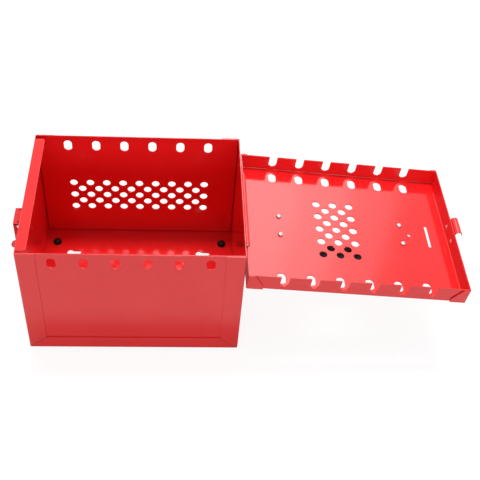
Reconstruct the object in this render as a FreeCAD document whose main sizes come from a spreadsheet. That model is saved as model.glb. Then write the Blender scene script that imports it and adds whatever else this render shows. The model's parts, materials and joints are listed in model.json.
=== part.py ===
import FreeCAD, Part
import Sketcher

import math
import os

from FreeCAD import Placement, Rotation, Vector

# Group lockout box in painted sheet steel, shown with its lid swung open to the right.
# Origin: on the standing surface, at the centre of the box in plan.
# +X points to the hinge side, +Y to the back wall, +Z up. All sizes are in millimetres.

doc = FreeCAD.newDocument("lockout_box")

DRIVING_SIZES = [
    ("box_width", 254.0, "outside width of the box"),
    ("box_depth", 201.0, "outside depth of the box"),
    ("box_height", 169.0, "height of the box without its feet"),
    ("sheet", 1.2, "thickness of every steel sheet of the box and lid"),
    ("bend", 2.0, "outside radius of the sheet folds"),
    ("side_flange", 22.0, "width of the upright flanges round front and back panel"),
    ("bottom_flange", 20.0, "height of the bottom flanges round front and back panel"),
    ("mitre_gap", 0.5, "open seam between upright and bottom flange"),
    ("return_width", 12.7, "width of the turned-in top edge of the left wall"),
    ("return_front", 5.5, "distance of the turned-in edge from the front face"),
    ("return_back", 8.5, "distance of the turned-in edge from the back face"),
    ("return_corner", 3.5, "plan radius of the turned-in edge's inner corners"),
    ("lock_hole_width", 10.0, "width of every padlock hole and notch"),
    ("lock_hole_length", 16.0, "length of every padlock hole"),
    ("lock_pitch", 35.2, "distance between neighbouring padlock holes"),
    ("lock_drop", 15.1, "padlock hole centre below the rim of the box"),
    ("vent_width", 9.8, "diameter of the round vent holes"),
    ("vent_pitch", 21.3, "distance between vent holes of one row"),
    ("vent_drop", 78.8, "top row of the back wall's vents below the rim"),
    ("foot_radius", 8.0, "radius of a foot's pad"),
    ("foot_height", 5.0, "height of a foot's pad under the floor"),
    ("foot_stem", 4.0, "radius of a foot's neck in its hole"),
    ("foot_play", 0.1, "radial play of the neck in its hole"),
    ("foot_nub", 5.4, "radius of a foot's button inside the box"),
    ("foot_nub_height", 3.6, "height of a foot's button above the floor"),
    ("foot_side", 15.4, "foot centre from the left or right face"),
    ("foot_end", 26.8, "foot centre from the front or back face"),
    ("keyhole_head", 4.5, "radius of a keyhole's round end"),
    ("keyhole_slot", 2.5, "half width of a keyhole's narrow end"),
    ("keyhole_run", 11.6, "from the round end's centre to the narrow end's centre"),
    ("keyhole_side", 34.6, "left keyholes' round end from the left face"),
    ("keyhole_span", 173.2, "from the left to the right keyholes"),
    ("keyhole_end", 45.0, "keyhole centre from the front or back face"),
    ("lid_gap", 2.8, "clearance between side wall and lid skirt"),
    ("lid_gap_ends", 0.8, "clearance between front or back wall and lid skirt"),
    ("lid_rise", 0.5, "clearance between rim and closed lid panel"),
    ("lid_skirt", 21.0, "inside height of the lid's skirt"),
    ("notch_top", 5.5, "top of a skirt notch below the lid panel"),
    ("lid_hole_side", 15.9, "lid padlock hole centre from the skirt's inside face"),
    ("tab_edge", 8.0, "length of a corner tab at the skirt's free edge"),
    ("tab_root", 19.5, "length of a corner tab at the lid panel"),
    ("tab_gap", 0.3, "open seam between corner tab and skirt"),
    ("lid_vent_shift", 12.5, "centre of the lid's vents from the lid's centre"),
    ("key_slot_width", 3.6, "width of the key drop slot"),
    ("key_slot_length", 36.0, "length of the key drop slot"),
    ("key_slot_end", 24.6, "key drop slot from the skirt's inside face"),
    ("seal_hole", 2.0, "radius of the small hole beside the handle"),
    ("seal_hole_side", 10.4, "small hole from the nearer pair of handle rivets"),
    ("handle_span", 154.6, "distance between the handle's two brackets"),
    ("handle_shift", 6.9, "centre of the handle from the lid's centre"),
    ("handle_reach", 39.0, "from the handle's pivot to the grip's centre"),
    ("handle_rod", 2.5, "radius of the handle's steel rod"),
    ("handle_play", 0.06, "radial play of the rod in its brackets"),
    ("handle_lift", 0.3, "rod above the lid"),
    ("handle_corner", 6.5, "bend radius of the handle's upper corners"),
    ("handle_foot_corner", 3.75, "bend radius of the handle's lower corners"),
    ("handle_leg_inset", 12.3, "handle leg from the middle of its bracket"),
    ("handle_end", 10.0, "rod end past the middle of its bracket"),
    ("bracket_sheet", 1.5, "thickness of a handle bracket"),
    ("bracket_width", 16.0, "width of a handle bracket along the rod"),
    ("bracket_length", 43.0, "length of a handle bracket across the rod"),
    ("bracket_rivets", 31.0, "distance between a bracket's two rivets"),
    ("grip_radius", 11.0, "radius of the grip"),
    ("grip_end_gap", 1.5, "from the grip's end to the handle's upper corner"),
    ("grip_round", 2.5, "rounding of the grip's ends"),
    ("grip_play", 0.05, "radial play of the rod in the grip"),
    ("handle_rivet", 2.4, "shank radius of a handle rivet"),
    ("handle_rivet_head", 4.4, "head radius of a handle rivet"),
    ("handle_head_height", 1.9, "head height of a handle rivet"),
    ("handle_rivet_tail", 3.2, "tail radius of a handle rivet"),
    ("handle_tail_height", 2.3, "tail height of a handle rivet"),
    ("hinge_length", 120.0, "length of the hinge"),
    ("hinge_out", 4.0, "hinge axis from the right wall"),
    ("hinge_drop", 24.0, "hinge axis below the rim"),
    ("hinge_leaf", 1.0, "thickness of the hinge leaves"),
    ("knuckle_radius", 3.0, "outside radius of the hinge knuckles"),
    ("knuckle_gap", 0.3, "gap between neighbouring knuckles"),
    ("hinge_pin", 1.93, "radius of the hinge pin"),
    ("hinge_play", 0.07, "radial play of the hinge pin"),
    ("box_leaf_width", 18.0, "box leaf, from the axis down"),
    ("lid_leaf_width", 18.0, "lid leaf, from the axis to its edge"),
    ("open_angle", 184.93, "turn of the lid from closed to fully open, in degrees"),
    ("keeper_sheet", 1.2, "thickness of the keeper"),
    ("keeper_width", 26.0, "width of the keeper's hook"),
    ("keeper_radius", 3.6, "inside radius of the keeper's hook"),
    ("keeper_roll", 160.0, "turn of the keeper's hook, in degrees"),
    ("keeper_lip", 2.2, "straight end of the keeper's hook"),
    ("keeper_hang", 0.9, "centre of the keeper's hook above the skirt's edge"),
    ("keeper_plate", 36.0, "width of the keeper's plate"),
    ("keeper_plate_height", 13.0, "height of the keeper's plate"),
    ("keeper_edge", 4.0, "top of the keeper's plate below the lid panel"),
    ("keeper_rivets", 25.0, "distance between the keeper's rivets"),
    ("keeper_rivet_drop", 8.5, "keeper rivets below the lid panel"),
    ("small_rivet", 1.6, "shank radius of keeper and latch rivets"),
    ("small_rivet_head", 3.0, "head radius of keeper and latch rivets"),
    ("small_head_height", 1.3, "head height of keeper and latch rivets"),
    ("small_tail", 2.1, "tail radius of keeper and latch rivets"),
    ("small_tail_height", 0.9, "tail height of keeper and latch rivets"),
    ("latch_out", 11.5, "lever pivot from the left wall"),
    ("latch_drop", 48.0, "lever pivot below the rim"),
    ("latch_sheet", 1.2, "thickness of latch base and lever"),
    ("latch_width", 26.0, "width of the latch lever"),
    ("latch_side_play", 0.9, "side gap between lever and base ears"),
    ("cheek_rise", 3.2, "lever's cheeks above the pivot, on the wall side"),
    ("cheek_reach", 4.0, "upper corner of the lever's cheeks from the pivot"),
    ("cheek_depth", 6.5, "lever's cheeks from the pivot towards the wall"),
    ("cheek_below", 5.0, "deepest part of the cheeks below the loop's pivot"),
    ("cheek_foot", 4.2, "depth of the lever's cheeks at their foot"),
    ("relief_drop", 2.5, "height of the open corner under the folded top"),
    ("relief_near", 1.5, "depth of the open corner at its lower edge"),
    ("relief_far", 6.3, "depth of the open corner at its upper edge"),
    ("tongue_root", 3.0, "lap of the finger tongue on the lever's face"),
    ("latch_pin", 2.0, "radius of the lever's pivot pin"),
    ("latch_play", 0.05, "radial play of pin and loop in their holes"),
    ("lever_face", 6.0, "outer face of the lever from its pivot"),
    ("lever_top", 5.5, "top of the lever above its pivot"),
    ("lever_roof", 5.0, "depth of the lever's folded top"),
    ("lever_foot", 41.5, "bottom of the lever's channel below its pivot"),
    ("tongue_width", 12.5, "width of the finger tongue"),
    ("tongue_reach", 9.5, "reach of the finger tongue from the lever's face"),
    ("tongue_drop", 3.5, "drop of the finger tongue"),
    ("loop_back", 1.9, "loop pivot from the lever pivot, towards the wall"),
    ("loop_below", 7.5, "loop pivot below the lever pivot"),
    ("loop_wire", 1.25, "radius of the loop's wire"),
    ("loop_side_gap", 0.95, "gap between the loop's arm and the lever"),
    ("loop_corner", 2.2, "bend radius of the loop's corners"),
    ("base_height", 32.0, "height of the latch base plate"),
    ("base_bottom", 21.0, "bottom of the latch base plate below the pivot"),
    ("base_rivets", 20.0, "distance between the latch base's rivets"),
    ("base_rivet_low", 15.0, "lower base rivet below the pivot"),
    ("ear_radius", 4.0, "tip radius of the base ears"),
    ("rest_gap", 0.3, "gap kept where moving pieces come to rest"),
]
LOCK_HOLES = 6
WALL_VENT_ROWS = 5
WALL_VENTS_IN_ROW = 9
LID_VENT_ROWS = 9
LID_VENTS_IN_ROW = 3
KNUCKLES = 5


class Size:
    """A length kept as its number and as the spreadsheet formula that gives it."""

    def __init__(self, number, formula):
        self.number = number
        self.formula = formula

    def joined(self, other, sign, number):
        return Size(number, "(%s %s %s)" % (self.formula, sign, other.formula))

    def __add__(self, other):
        other = sized(other)
        return self.joined(other, "+", self.number + other.number)

    def __sub__(self, other):
        other = sized(other)
        return self.joined(other, "-", self.number - other.number)

    def __mul__(self, other):
        other = sized(other)
        return self.joined(other, "*", self.number * other.number)

    def __truediv__(self, other):
        other = sized(other)
        return self.joined(other, "/", self.number / other.number)

    def __neg__(self):
        return Size(-self.number, "(0 - %s)" % self.formula)

    def __radd__(self, other):
        return sized(other) + self

    def __rsub__(self, other):
        return sized(other) - self

    def __rmul__(self, other):
        return sized(other) * self


def sized(value):
    """A plain number as a Size."""
    return value if isinstance(value, Size) else Size(float(value), repr(float(value)))


def number(value):
    return sized(value).number


def root(size):
    return Size(math.sqrt(size.number), "sqrt(%s)" % size.formula)


table = doc.addObject("Spreadsheet::Sheet", "Sizes")
for row, (alias, value, note) in enumerate(DRIVING_SIZES, start=1):
    table.set("A%d" % row, alias)
    table.set("B%d" % row, str(value))
    table.set("C%d" % row, note)
    table.setAlias("B%d" % row, alias)
doc.recompute()


def size(alias):
    """The driving size with this name."""
    return Size(float(table.get(alias)), "Sizes.%s" % alias)


def bind(item, prop, value):
    """Ties a property to the spreadsheet, or sets a plain number."""
    if isinstance(value, Size):
        item.setExpression(prop, value.formula)
    else:
        item.setExpression(prop, repr(float(value)))


def put(item, spot):
    """Ties an object's place to the spreadsheet."""
    for axis, value in zip("xyz", spot):
        bind(item, "Placement.Base.%s" % axis, value)


TURNS = {
    "x": Rotation(Vector(0, 1, 0), 90),
    "y": Rotation(Vector(1, 0, 0), -90),
    "z": Rotation(),
    "-x": Rotation(Vector(0, 1, 0), -90),
    "-y": Rotation(Vector(1, 0, 0), 90),
}


def block(name, low, high):
    """A box between two opposite corners."""
    item = doc.addObject("Part::Box", name)
    for prop, start, end in zip(("Length", "Width", "Height"), low, high):
        bind(item, prop, sized(end) - sized(start))
    put(item, low)
    return item


def rod(name, start, axis, radius, length):
    """A cylinder that runs from its start along +X, +Y or +Z."""
    item = doc.addObject("Part::Cylinder", name)
    item.Placement = Placement(Vector(), TURNS[axis])
    bind(item, "Radius", radius)
    bind(item, "Height", length)
    put(item, start)
    return item


def dome(name, spot, toward, radius, height):
    """A spherical cap: flat side at its spot, crown toward one of the TURNS."""
    ball = (radius * radius + height * height) / (height * 2)
    sink = ball - height
    item = doc.addObject("Part::Sphere", name)
    item.Placement = Placement(Vector(), TURNS[toward])
    bind(item, "Radius", ball)
    flat = sink / ball
    bind(item, "Angle1", Size(math.degrees(math.asin(flat.number)), "asin(%s)" % flat.formula))
    place = list(spot)
    axis = "xyz".index(toward[-1])
    place[axis] = place[axis] + sink if toward.startswith("-") else place[axis] - sink
    put(item, place)
    return item


def elbow(name, spot, start, end, bend_radius, wire_radius):
    """A quarter of a torus round its spot, from one direction to another."""
    item = doc.addObject("Part::Torus", name)
    item.Placement = Placement(Vector(), Rotation(start, end, start.cross(end), "XYZ"))
    bind(item, "Radius1", bend_radius)
    bind(item, "Radius2", wire_radius)
    item.Angle3 = 90
    put(item, spot)
    return item


def fuse(name, items):
    item = doc.addObject("Part::MultiFuse", name)
    item.Shapes = items
    item.Refine = True
    return item


def cut(name, base, tools):
    item = doc.addObject("Part::Cut", name)
    item.Base = base
    item.Tool = tools[0] if len(tools) == 1 else fuse(name + "_tools", tools)
    item.Refine = True
    return item


def round_edges(name, base, radius, wanted):
    """Fillets the edges that a test picks out by their end points and middle."""
    doc.recompute()
    picked = []
    for index, edge in enumerate(base.Shape.Edges, start=1):
        ends = [vertex.Point for vertex in edge.Vertexes]
        if wanted(ends[0], ends[-1]):
            picked.append((index, number(radius), number(radius)))
    if not picked:
        raise RuntimeError("no edge to round on " + name)
    item = doc.addObject("Part::Fillet", name)
    item.Base = base
    item.Edges = picked
    return item


def near(one, other):
    return abs(one - other) < 0.01


def slot_tool(name, centre, run_axis, through_axis, width, length, low, depth):
    """A cutter for an oblong hole: round ends along run_axis, cut along through_axis."""
    reach = (length - width) / 2
    axes = "xyz"
    along = axes.index(run_axis)
    through = axes.index(through_axis)
    across = 3 - along - through
    pieces = []
    for side, sign in (("a", -1), ("b", 1)):
        spot = list(centre)
        spot[along] = centre[along] + sign * reach
        spot[through] = low
        pieces.append(rod(name + side, spot, through_axis, width / 2, depth))
    corner = list(centre)
    corner[along] = centre[along] - reach
    corner[across] = centre[across] - width / 2
    corner[through] = low
    far = list(centre)
    far[along] = centre[along] + reach
    far[across] = centre[across] + width / 2
    far[through] = low + depth
    pieces.append(block(name + "c", corner, far))
    return pieces


box_width = size("box_width")
box_depth = size("box_depth")
sheet = size("sheet")
bend = size("bend")
inner_bend = bend - sheet
floor_under = size("foot_height")
floor_top = floor_under + sheet
rim = floor_under + size("box_height")
half_width = box_width / 2
half_depth = box_depth / 2
SAFE = 5.0
ZERO = sized(0)

lid_gap = size("lid_gap")
lid_inside = rim + size("lid_rise")
lid_outside = lid_inside + sheet
skirt_edge = lid_inside - size("lid_skirt")
skirt_x = half_width + lid_gap
skirt_y = half_depth + size("lid_gap_ends")
lid_x = skirt_x + sheet
lid_y = skirt_y + sheet

hinge_x = half_width + size("hinge_out")
hinge_z = rim - size("hinge_drop")
hinge_centre = Vector(number(hinge_x), 0, number(hinge_z))
lid_open = Placement(Vector(), Rotation(Vector(0, 1, 0), number(size("open_angle"))), hinge_centre)

nodes = []


def keep(label, item, placement=None):
    """Files a finished piece, or several loose ones, under a name at its place."""
    piece = item
    if isinstance(item, list):
        piece = doc.addObject("Part::Compound", label + "_set")
        piece.Links = item
    piece.Label = label
    if placement is not None:
        piece.Placement = placement
    nodes.append(piece)
    return piece


def lock_spots():
    """Places of the padlock holes along X, from left to right."""
    middle = (LOCK_HOLES - 1) / 2
    return [size("lock_pitch") * (index - middle) for index in range(LOCK_HOLES)]


def vent_spots(rows, in_row):
    """Vent places in a staggered field: along the row, and down from its first row."""
    pitch = size("vent_pitch")
    spots = []
    for line in range(rows):
        count = in_row - line % 2
        for index in range(count):
            spots.append((pitch * (index - (count - 1) / 2), pitch / 2 * line))
    return spots


# Box body: one sheet folded into left wall, floor and right wall, with flanges round
# the front and back openings that meet in mitred corners.
def upright_or_bottom(one, other):
    upright = near(one.x, other.x) and near(one.y, other.y)
    bottom = near(one.z, other.z) and near(one.z, min(one.z, number(floor_top)))
    return upright or bottom


def box_shell():
    outer = block("shell_outer", (-half_width, -half_depth, floor_under), (half_width, half_depth, rim))
    outer = round_edges("shell_outer_folds", outer, bend, upright_or_bottom)
    low = (sheet - half_width, sheet - half_depth, floor_top)
    high = (half_width - sheet, half_depth - sheet, rim + SAFE)
    inner = block("shell_inner", low, high)
    inner = round_edges("shell_inner_folds", inner, inner_bend, upright_or_bottom)
    return outer, inner


def panel_windows():
    side = half_width - size("side_flange")
    low = (-side, -half_depth - SAFE, floor_under + size("bottom_flange"))
    return block("panel_windows", low, (side, half_depth + SAFE, rim + SAFE))


def mitre_seams():
    """Diagonal seams from the bottom corners to the corners of the openings."""
    run = size("side_flange")
    rise = size("bottom_flange")
    slope = math.degrees(math.atan2(number(rise), number(run)))
    seams = []
    for face, face_low in (("front", -half_depth - SAFE), ("back", half_depth - sheet)):
        for side, sign, angle in (("left", -1, -slope), ("right", 1, slope - 180)):
            name = "mitre_%s_%s" % (face, side)
            seam = doc.addObject("Part::Box", name)
            seam.Placement = Placement(Vector(), Rotation(Vector(0, 1, 0), angle))
            bind(seam, "Length", root(run * run + rise * rise) + bend)
            bind(seam, "Width", sheet + SAFE)
            bind(seam, "Height", size("mitre_gap"))
            put(seam, (half_width * sign, face_low, floor_under))
            seams.append(seam)
    return seams


def foot_spots():
    x = half_width - size("foot_side")
    y = half_depth - size("foot_end")
    return [("front_left", -x, -y), ("front_right", x, -y), ("back_left", -x, y), ("back_right", x, y)]


def keyholes():
    """Four hanging slots: round end towards the latch side, narrow end towards the hinge."""
    left = size("keyhole_side") - half_width
    end = half_depth - size("keyhole_end")
    head = size("keyhole_head")
    slot = size("keyhole_slot")
    run = size("keyhole_run")
    tools = []
    for column, x in (("left", left), ("right", left + size("keyhole_span"))):
        for line, y in (("front", -end), ("back", end)):
            name = "keyhole_%s_%s_" % (column, line)
            low = floor_under - SAFE
            depth = sheet + 2 * SAFE
            tools.append(rod(name + "head", (x, y, low), "z", head, depth))
            tools.append(rod(name + "end", (x + run, y, low), "z", slot, depth))
            tools.append(block(name + "slot", (x, y - slot, low), (x + run, y + slot, low + depth)))
    return tools


latch_x = -half_width - size("latch_out")
latch_z = rim - size("latch_drop")
base_rivet_low = latch_z - size("base_rivet_low")
base_rivet_spots = (base_rivet_low, base_rivet_low + size("base_rivets"))


def box_body():
    outer, inner = box_shell()
    hollow = cut("shell_hollow", outer, [inner, panel_windows()] + mitre_seams())
    low = (-half_width, size("return_front") - half_depth, rim - sheet)
    high = (size("return_width") - half_width, half_depth - size("return_back"), rim)
    edge = block("return_edge", low, high)
    inside = number(high[0])
    edge = round_edges(
        "return_corners", edge, size("return_corner"),
        lambda one, other: near(one.x, inside) and near(other.x, inside) and near(one.y, other.y))
    body = fuse("shell_with_return", [hollow, edge])
    left = number(-half_width)
    top = number(rim)
    body = round_edges(
        "return_fold", body, sheet * 0.9,
        lambda one, other: near(one.x, left) and near(other.x, left)
        and near(one.z, top) and near(other.z, top))
    tools = keyholes()
    radius = size("foot_stem") + size("foot_play")
    for name, x, y in foot_spots():
        tools.append(rod("foot_hole_" + name, (x, y, floor_under - SAFE), "z", radius, sheet + 2 * SAFE))
    for index, z in enumerate(base_rivet_spots):
        spot = (-half_width - SAFE, ZERO, z)
        tools.append(rod("latch_hole_%d" % index, spot, "x", size("small_rivet"), sheet + 2 * SAFE))
    keep("box_body", cut("box_body_cut", body, tools))


# Front and back panel: flat sheets inside the flanges, welded to them.
def panel(label, low_y, vents):
    side = half_width - sheet - inner_bend
    low = (-side, low_y, floor_top + inner_bend)
    plate = block(label + "_plate", low, (side, low_y + sheet, rim))
    tools = []
    lock_z = rim - size("lock_drop")
    hole_low = low_y - SAFE
    depth = sheet + 2 * SAFE
    for index, x in enumerate(lock_spots()):
        name = "%s_lock_%d" % (label, index)
        tools += slot_tool(name, [x, ZERO, lock_z], "z", "y", size("lock_hole_width"),
                           size("lock_hole_length"), hole_low, depth)
    if vents:
        for index, (x, down) in enumerate(vent_spots(WALL_VENT_ROWS, WALL_VENTS_IN_ROW)):
            spot = (x, hole_low, rim - size("vent_drop") - down)
            tools.append(rod("%s_vent_%d" % (label, index), spot, "y", size("vent_width") / 2, depth))
    keep(label, cut(label + "_cut", plate, tools))


# Foot: a turned rubber button pushed through a hole in the floor, pad below, nub above.
def foot(name, x, y):
    body = doc.addObject("PartDesign::Body", "foot_%s_body" % name)
    sketch = body.newObject("Sketcher::SketchObject", "foot_%s_profile" % name)
    plane = [item for item in body.Origin.OriginFeatures if item.Role == "XZ_Plane"][0]
    sketch.AttachmentSupport = (plane, [""])
    sketch.MapMode = "FlatFace"
    pad = size("foot_radius")
    stem = size("foot_stem")
    nub = size("foot_nub")
    top = floor_top + size("foot_nub_height")
    outline = [
        (ZERO, ZERO),
        (pad * 0.82, ZERO),
        (pad, floor_under * 0.35),
        (pad, floor_under),
        (stem, floor_under),
        (stem, floor_top),
        (nub, floor_top),
        (nub, floor_top + size("foot_nub_height") * 0.4),
        (nub * 0.72, top - size("foot_nub_height") * 0.14),
        (nub * 0.35, top),
        (ZERO, top),
    ]
    draw_outline(sketch, outline)
    turned = body.newObject("PartDesign::Revolution", "foot_%s_turned" % name)
    turned.Profile = sketch
    turned.ReferenceAxis = (sketch, ["V_Axis"])
    turned.Angle = 360.0
    put(body, (x, y, ZERO))
    body.Label = "rubber_foot_" + name
    nodes.append(body)


def draw_outline(sketch, outline):
    """A closed run of straight lines whose corners are tied to the spreadsheet."""
    count = len(outline)
    for index in range(count):
        start = Vector(number(outline[index][0]), number(outline[index][1]), 0)
        after = outline[(index + 1) % count]
        sketch.addGeometry(Part.LineSegment(start, Vector(number(after[0]), number(after[1]), 0)), False)
    ties = [Sketcher.Constraint("Coincident", index, 2, (index + 1) % count, 1) for index in range(count)]
    sketch.addConstraint(ties)
    for index, corner in enumerate(outline):
        for kind, value in zip(("DistanceX", "DistanceY"), corner):
            tie = sketch.addConstraint(Sketcher.Constraint(kind, -1, 1, index, 1, number(value)))
            sketch.setExpression("Constraints[%d]" % tie, sized(value).formula)


# Hinge: two leaves rolled round one pin. The box leaf is welded to the right wall, the
# lid leaf to the outside of the lid's skirt.
def knuckle_spans(first):
    """Start and length of every second knuckle, from the front."""
    step = size("hinge_length") / KNUCKLES
    gap = size("knuckle_gap")
    front = gap / 2 - size("hinge_length") / 2
    return [(step * index + front, step - gap) for index in range(first, KNUCKLES, 2)]


def hinge_leaf(label, plate, first, neck_corners, placement):
    pieces = [plate]
    low, high = neck_corners
    for index, (start, length) in enumerate(knuckle_spans(first)):
        centre = (hinge_x, start, hinge_z)
        pieces.append(rod("%s_knuckle_%d" % (label, index), centre, "y", size("knuckle_radius"), length))
        end = start + length
        name = "%s_neck_%d" % (label, index)
        pieces.append(block(name, (low[0], start, low[1]), (high[0], end, high[1])))
    bore_start = (hinge_x, -size("hinge_length"), hinge_z)
    bore_radius = size("hinge_pin") + size("hinge_play")
    bore = rod(label + "_bore", bore_start, "y", bore_radius, size("hinge_length") * 2)
    keep(label, cut(label + "_bored", fuse(label + "_solid", pieces), [bore]), placement)


def hinge():
    leaf = size("hinge_leaf")
    half = size("hinge_length") / 2
    clear = size("knuckle_radius") + size("knuckle_gap")
    wall = half_width
    low = (wall, -half, hinge_z - size("box_leaf_width"))
    plate = block("box_leaf_plate", low, (wall + leaf, half, hinge_z - clear))
    neck = ((wall, hinge_z - clear - leaf), (hinge_x - size("hinge_pin"), hinge_z))
    hinge_leaf("hinge_leaf_box", plate, 0, neck, None)
    high = (lid_x + leaf, half, hinge_z + size("lid_leaf_width"))
    plate = block("lid_leaf_plate", (lid_x, -half, hinge_z + clear), high)
    neck = ((lid_x, hinge_z + size("hinge_pin")), (lid_x + leaf, hinge_z + clear + leaf))
    hinge_leaf("hinge_leaf_lid", plate, 1, neck, lid_open)
    start = (hinge_x, -half, hinge_z)
    shaft = rod("hinge_pin_shaft", start, "y", size("hinge_pin"), size("hinge_length"))
    crown = size("hinge_pin") * 0.4
    front = dome("hinge_pin_front", start, "-y", size("hinge_pin"), crown)
    back = dome("hinge_pin_back", (hinge_x, half, hinge_z), "y", size("hinge_pin"), crown)
    keep("hinge_pin", fuse("hinge_pin_whole", [shaft, front, back]))


# Lid: a shallow pan with folded skirts. The end skirts have tabs that lap round the
# outside of the long skirts at the four corners.
def lid_corner_tabs():
    tab_y = lid_y + size("tab_gap")
    root_length = size("tab_root")
    edge_length = size("tab_edge")
    blocks = []
    trims = []
    slope_run = root_length - edge_length
    slope_rise = (size("lid_skirt") + sheet) * 0.72
    slope = math.degrees(math.atan2(number(slope_rise), number(slope_run)))
    for column, sign_x in (("latch", -1), ("hinge", 1)):
        for line, sign_y in (("front", -1), ("back", 1)):
            name = "tab_%s_%s" % (column, line)
            xs = sorted([lid_x * sign_x, (lid_x - root_length) * sign_x], key=number)
            ys = sorted([skirt_y * sign_y, (tab_y + sheet) * sign_y], key=number)
            near_end = sorted([lid_x * sign_x, (lid_x - sheet) * sign_x], key=number)
            lap = sorted([tab_y * sign_y, (tab_y + sheet) * sign_y], key=number)
            blocks.append(block(name + "_lap", (xs[0], lap[0], skirt_edge), (xs[1], lap[1], lid_outside)))
            end_low = (near_end[0], ys[0], skirt_edge)
            blocks.append(block(name + "_end", end_low, (near_end[1], ys[1], lid_outside)))
            trim = doc.addObject("Part::Box", name + "_trim")
            trim.Placement = Placement(Vector(), Rotation(Vector(0, 1, 0), sign_x * (slope - 180)))
            bind(trim, "Length", size("lid_skirt") * 2)
            bind(trim, "Width", sheet + SAFE)
            bind(trim, "Height", size("lid_skirt"))
            start_x = lid_x - edge_length if sign_x > 0 else root_length - lid_x
            seam = tab_y - size("tab_gap") / 2
            start_y = seam if sign_y > 0 else -seam - sheet - SAFE
            start_z = skirt_edge if sign_x > 0 else skirt_edge + slope_rise
            put(trim, (start_x, start_y, start_z))
            trims.append(trim)
    return blocks, trims


def lid_pan():
    outer = block("pan_outer", (-lid_x, -lid_y, skirt_edge), (lid_x, lid_y, lid_outside))
    top = number(lid_outside)
    outer = round_edges(
        "pan_outer_folds", outer, bend,
        lambda one, other: near(one.z, top) and near(other.z, top))
    inner = block("pan_inner", (-skirt_x, -skirt_y, skirt_edge - SAFE), (skirt_x, skirt_y, lid_inside))
    roof = number(lid_inside)
    inner = round_edges(
        "pan_inner_folds", inner, inner_bend,
        lambda one, other: near(one.z, roof) and near(other.z, roof))
    pan = cut("pan_hollow", outer, [inner])
    doc.recompute()
    tools = []
    deep = sheet + 2 * SAFE
    above = lid_inside - SAFE
    hole_y = skirt_y - size("lid_hole_side")
    width = size("lock_hole_width")
    notch_round = lid_inside - size("notch_top") - width / 2
    for index, x in enumerate(lock_spots()):
        for side, y in (("front", -hole_y), ("back", hole_y)):
            name = "lid_lock_%s_%d" % (side, index)
            tools += slot_tool(name, [x, y, ZERO], "y", "z", width, size("lock_hole_length"), above, deep)
        start = (x, -lid_y - SAFE, notch_round)
        length = (lid_y + SAFE) * 2
        tools.append(rod("notch_round_%d" % index, start, "y", width / 2, length))
        low = (x - width / 2, -lid_y - SAFE, skirt_edge - SAFE)
        tools.append(block("notch_%d" % index, low, (x + width / 2, lid_y + SAFE, notch_round)))
    first_row = size("vent_pitch") / 4 * (LID_VENT_ROWS - 1)
    for index, (x, down) in enumerate(vent_spots(LID_VENT_ROWS, LID_VENTS_IN_ROW)):
        y = first_row - down
        spot = (size("lid_vent_shift") + x, y, above)
        tools.append(rod("lid_vent_%d" % index, spot, "z", size("vent_width") / 2, deep))
    key_x = size("key_slot_end") - skirt_x
    tools += slot_tool("key_slot", [key_x, ZERO, ZERO], "y", "z", size("key_slot_width"),
                       size("key_slot_length"), above, deep)
    seal_x = size("handle_shift") - size("handle_span") / 2 - size("seal_hole_side")
    tools.append(rod("seal_hole_tool", (seal_x, ZERO, above), "z", size("seal_hole"), deep))
    for index, (x, y) in enumerate(handle_rivet_spots()):
        tools.append(rod("handle_hole_%d" % index, (x, y, above), "z", size("handle_rivet"), deep))
    for index, y in enumerate(keeper_rivet_spots()):
        spot = (-lid_x - SAFE, y, lid_inside - size("keeper_rivet_drop"))
        tools.append(rod("keeper_hole_%d" % index, spot, "x", size("small_rivet"), deep))
    pan = cut("pan_cut", pan, tools)
    blocks, trims = lid_corner_tabs()
    laps = fuse("lid_tabs", blocks)
    outside = number(lid_x)
    lap_out = number(lid_y + size("tab_gap") + sheet)

    def outer_fold(one, other):
        upright = near(one.x, other.x) and near(one.y, other.y)
        return upright and near(abs(one.x), outside) and near(abs(one.y), lap_out)

    laps = round_edges("lid_tab_folds", laps, bend, outer_fold)
    laps = cut("lid_tabs_trimmed", laps, trims)
    free_corner = number(lid_x - size("tab_edge"))
    free_edge = number(skirt_edge)
    laps = round_edges(
        "lid_tab_corners", laps, size("tab_edge") * 0.35,
        lambda one, other: near(one.z, free_edge) and near(other.z, free_edge)
        and near(abs(one.x), free_corner) and near(one.x, other.x))
    crown = block("lid_tab_crown", (-lid_x - SAFE, -lid_y - SAFE, lid_outside - bend * 0.45),
                  (lid_x + SAFE, lid_y + SAFE, lid_outside + SAFE))
    laps = cut("lid_tabs_level", laps, [crown])
    keep("lid_pan", fuse("lid_pan_whole", [pan, laps]), lid_open)


def handle_rivet_spots():
    spots = []
    for sign_x in (-1, 1):
        for sign_y in (-1, 1):
            x = size("handle_shift") + size("handle_span") / 2 * sign_x
            spots.append((x, size("bracket_rivets") / 2 * sign_y))
    return spots


def keeper_rivet_spots():
    return (-size("keeper_rivets") / 2, size("keeper_rivets") / 2)


# Keeper: a plate riveted to the free skirt of the lid, rolled outwards into an open hook
# that holds the latch loop when the lid is shut.
hook_x = -lid_x - size("keeper_sheet") - size("keeper_radius")
hook_z = skirt_edge + size("keeper_hang")


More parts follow.
